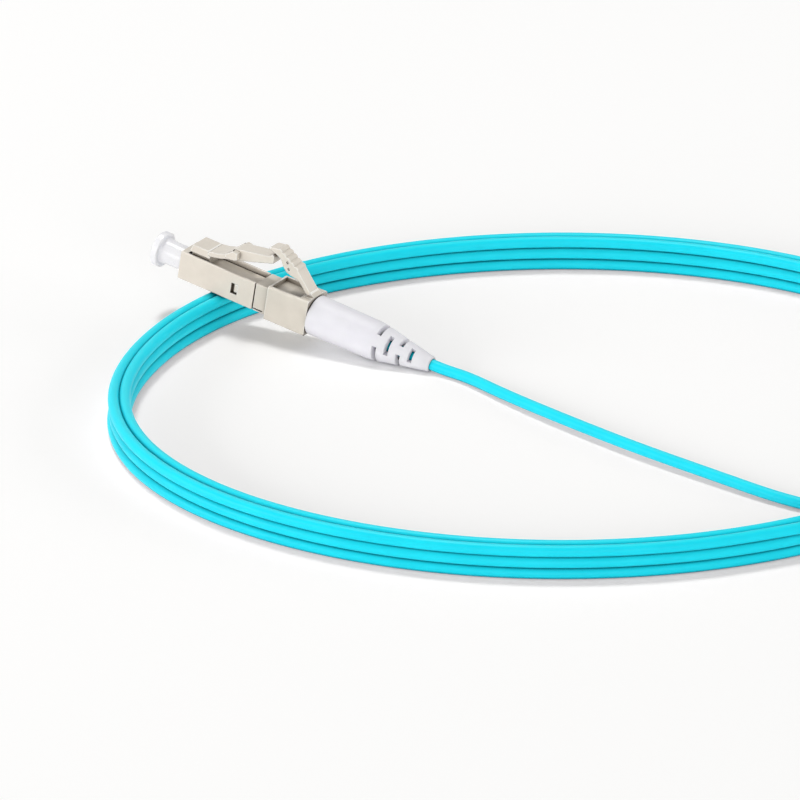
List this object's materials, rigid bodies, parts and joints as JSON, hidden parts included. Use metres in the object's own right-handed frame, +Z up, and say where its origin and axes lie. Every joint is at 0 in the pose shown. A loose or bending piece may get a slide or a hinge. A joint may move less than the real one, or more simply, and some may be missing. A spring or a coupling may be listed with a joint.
{
  "type": "lc fibre connector",
  "caption": "Small-form-factor fibre-optic plug with bend-relief boot, thumb lever, latch arm and dust cap, on a coiled round lead.",
  "frame": {"origin": "centre of the connector's bounding box in plan, on the ground it and the coil lie on", "axes": "+X the connector's plugging direction seen from above (the plug is tilted nose up), +Y to its left, +Z up"},
  "size_m": [0.1367, 0.1207, 0.0145],
  "materials": {
    "housing": "satin moulded",
    "boot": "soft moulded",
    "cap": "smooth moulded",
    "jacket": "smooth extruded",
    "inner": "moulded",
    "ceramic": "polished",
    "steel": "turned",
    "crimp": "drawn",
    "liner": "translucent",
    "glass": "clear",
    "buffer": "smooth",
    "yarn": "fibrous"
  },
  "bodies": {
    "plug": {"front_housing": "housing", "rear_housing": "housing", "inner_body": "inner", "boot": "boot", "cable_jacket": "jacket", "aramid_yarn": "yarn", "fibre_buffer": "buffer", "crimp_sleeve": "crimp", "cable_lead": "jacket", "cable_coil": "jacket"},
    "latch": {"latch_arm": "housing"},
    "lever": {"trigger_lever": "housing"},
    "ferrule_unit": {"ferrule": "ceramic", "ferrule_flange": "steel", "guide_tube": "liner", "optical_fibre": "glass", "ferrule_spring": "steel"},
    "cap": {"dust_cap": "cap"}
  },
  "joints": [
    {"name": "trigger_press", "type": "hinge", "parent": "plug", "child": "lever", "pos_m": [-0.00314, 0, 0.00842], "axis": [0, 1, 0], "range_deg": [0, 12]},
    {"name": "latch_flex", "type": "hinge", "parent": "plug", "child": "latch", "pos_m": [0.01356, 0, 0.01133], "axis": [0, -1, 0], "range_deg": [0, 9], "stiffness_Nm_per_rad": 0.2},
    {"name": "ferrule_float", "type": "slide", "parent": "plug", "child": "ferrule_unit", "axis": [-0.9848, 0, -0.1736], "range_m": [0, 0.0009], "stiffness_N_per_m": 1500, "springref_m": -0.0035, "deforming": ["ferrule_spring"]},
    {"name": "cap_pull", "type": "slide", "parent": "plug", "child": "cap", "axis": [0.9848, 0, 0.1736], "range_m": [0, 0.012]}
  ],
  "couplings": [
    {"joint": "trigger_press", "follows": "latch_flex", "ratio": 1.3333}
  ]
}
